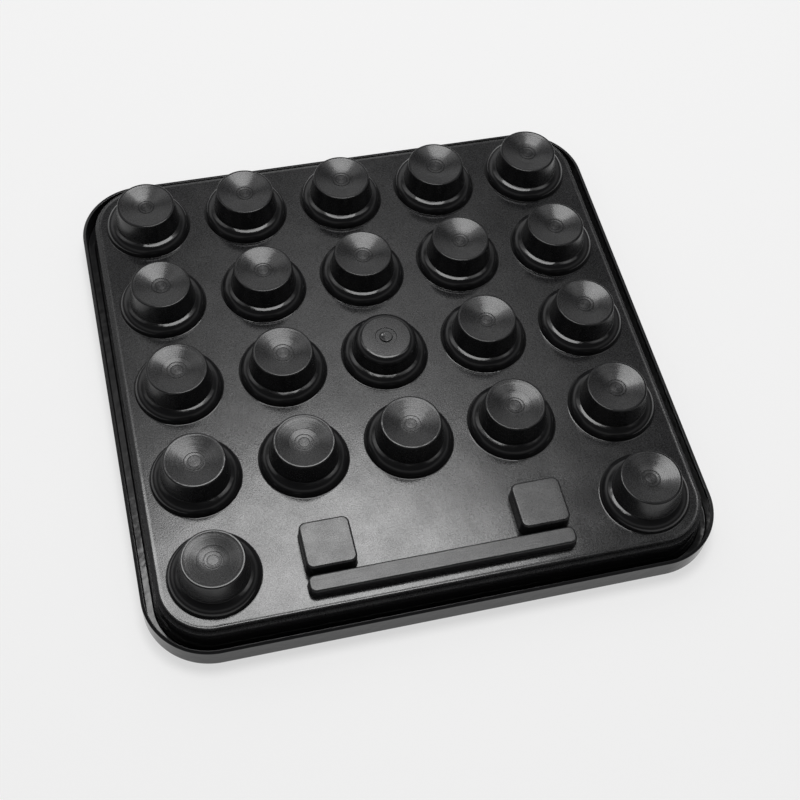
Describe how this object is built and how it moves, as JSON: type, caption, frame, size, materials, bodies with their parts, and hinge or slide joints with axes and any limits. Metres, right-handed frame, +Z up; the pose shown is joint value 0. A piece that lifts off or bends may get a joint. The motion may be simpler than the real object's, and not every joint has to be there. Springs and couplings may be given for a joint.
{
  "type": "snooker ball tray",
  "caption": "Square black plastic tray with round cups for snooker balls, two square chalk pockets and a pencil trough, lying upside down on its rim.",
  "frame": {"origin": "middle of the resting face, which is the flat top of the rim in use", "axes": "+Z up out of the resting face, towards the closed ends of the cups; +X along a row of cups to the right; +Y away from the chalk pockets and the trough, to the back row. In use the tray is turned over"},
  "size_m": [0.363, 0.363, 0.0475],
  "materials": {
    "satin_black_plastic": "moulded, satin with a fine grain",
    "gloss_black_plastic": "moulded, glossy",
    "turned_black_plastic": "moulded, glossy, with turned tool marks on the ends of the cups"
  },
  "bodies": {
    "root": {"deck": "satin_black_plastic", "stacking_ledge": "gloss_black_plastic", "rim_floor": "gloss_black_plastic", "side_wall_right": "gloss_black_plastic", "side_wall_back": "gloss_black_plastic", "side_wall_left": "gloss_black_plastic", "side_wall_front": "gloss_black_plastic", "side_wall_back_right": "gloss_black_plastic", "side_wall_back_left": "gloss_black_plastic", "side_wall_front_left": "gloss_black_plastic", "side_wall_front_right": "gloss_black_plastic", "outer_lip_right": "gloss_black_plastic", "outer_lip_back": "gloss_black_plastic", "outer_lip_left": "gloss_black_plastic", "outer_lip_front": "gloss_black_plastic", "outer_lip_back_right": "gloss_black_plastic", "outer_lip_back_left": "gloss_black_plastic", "outer_lip_front_left": "gloss_black_plastic", "outer_lip_front_right": "gloss_black_plastic", "ball_cup_r1c1": "turned_black_plastic", "ball_cup_r1c2": "turned_black_plastic", "ball_cup_r1c3": "turned_black_plastic", "ball_cup_r1c4": "turned_black_plastic", "ball_cup_r1c5": "turned_black_plastic", "ball_cup_r2c1": "turned_black_plastic", "ball_cup_r2c2": "turned_black_plastic", "ball_cup_r2c3": "turned_black_plastic", "ball_cup_r2c4": "turned_black_plastic", "ball_cup_r2c5": "turned_black_plastic", "ball_cup_r3c1": "turned_black_plastic", "ball_cup_r3c2": "turned_black_plastic", "ball_cup_r3c3": "turned_black_plastic", "ball_cup_r3c4": "turned_black_plastic", "ball_cup_r3c5": "turned_black_plastic", "ball_cup_r4c1": "turned_black_plastic", "ball_cup_r4c2": "turned_black_plastic", "ball_cup_r4c3": "turned_black_plastic", "ball_cup_r4c4": "turned_black_plastic", "ball_cup_r4c5": "turned_black_plastic", "ball_cup_r5c1": "turned_black_plastic", "ball_cup_r5c5": "turned_black_plastic", "chalk_pocket_left": "satin_black_plastic", "chalk_pocket_right": "satin_black_plastic", "pencil_trough": "satin_black_plastic"}
  },
  "joints": []
}
